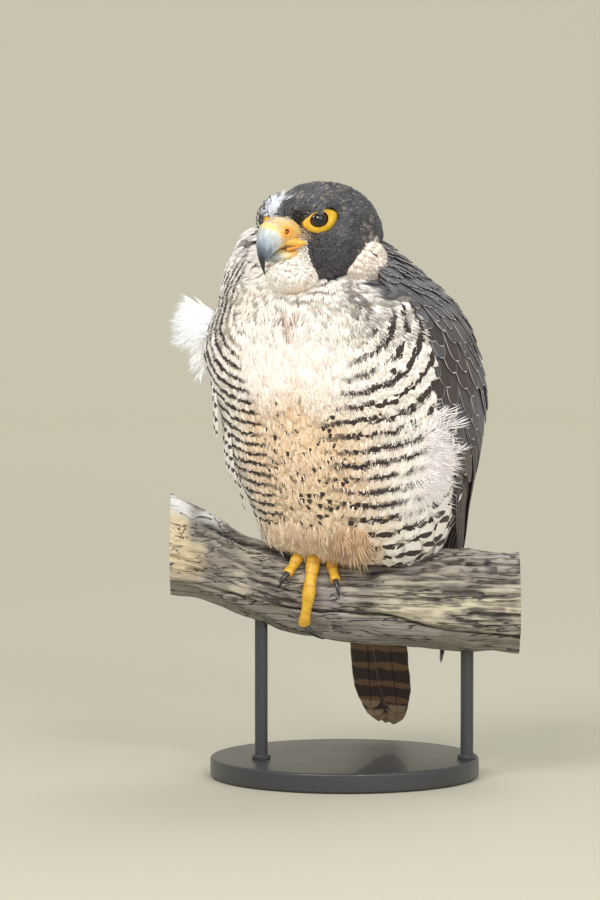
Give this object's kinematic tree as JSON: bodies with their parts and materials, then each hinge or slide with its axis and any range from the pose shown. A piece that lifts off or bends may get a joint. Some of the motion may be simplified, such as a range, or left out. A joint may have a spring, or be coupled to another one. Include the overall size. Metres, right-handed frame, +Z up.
{
  "type": "peregrine falcon",
  "caption": "Adult peregrine falcon resting on one foot on a cut length of weathered wood, its head turned to the side, held by a flat base with short rods.",
  "frame": {"origin": "centre of the underside of the stand's base", "axes": "+Z up; the camera of the picture looks along +Y, and +X is to its right, along the length of wood"},
  "size_m": [0.2191, 0.1935, 0.3708],
  "materials": {
    "slate_plumage": "soft matt feathers, dark slate",
    "cream_plumage": "soft matt feathers, cream and buff with dark bars",
    "wing_plumage": "matt feathers, dark grey-brown with pale edges",
    "tail_plumage": "matt feathers, black-brown with brown bars",
    "yellow_skin": "bare skin, satin",
    "bill_horn": "horn, satin, blue-grey to a black tip",
    "claw_horn": "horn, glossy black",
    "eye": "wet gloss",
    "weathered_wood": "bare weathered wood, matt",
    "stand_paint": "satin dark paint"
  },
  "bodies": {
    "root": {"head": "slate_plumage", "neck": "cream_plumage", "torso": "cream_plumage", "wing_left": "wing_plumage", "wing_right": "wing_plumage", "tail": "tail_plumage", "leg_left": "cream_plumage", "leg_right": "cream_plumage", "foot_left": "yellow_skin", "foot_right": "yellow_skin", "claw_right_middle": "claw_horn", "claw_right_outer": "claw_horn", "claw_right_inner": "claw_horn", "claw_right_hind": "claw_horn", "claw_left_middle": "claw_horn", "claw_left_outer": "claw_horn", "claw_left_inner": "claw_horn", "claw_left_hind": "claw_horn", "cere": "yellow_skin", "bill_upper": "bill_horn", "bill_lower": "bill_horn", "lid_left": "yellow_skin", "lid_right": "yellow_skin", "eye_left": "eye", "eye_right": "eye", "perch": "weathered_wood", "stand_base": "stand_paint", "stand_rod_left": "stand_paint", "stand_rod_right": "stand_paint"}
  },
  "joints": []
}
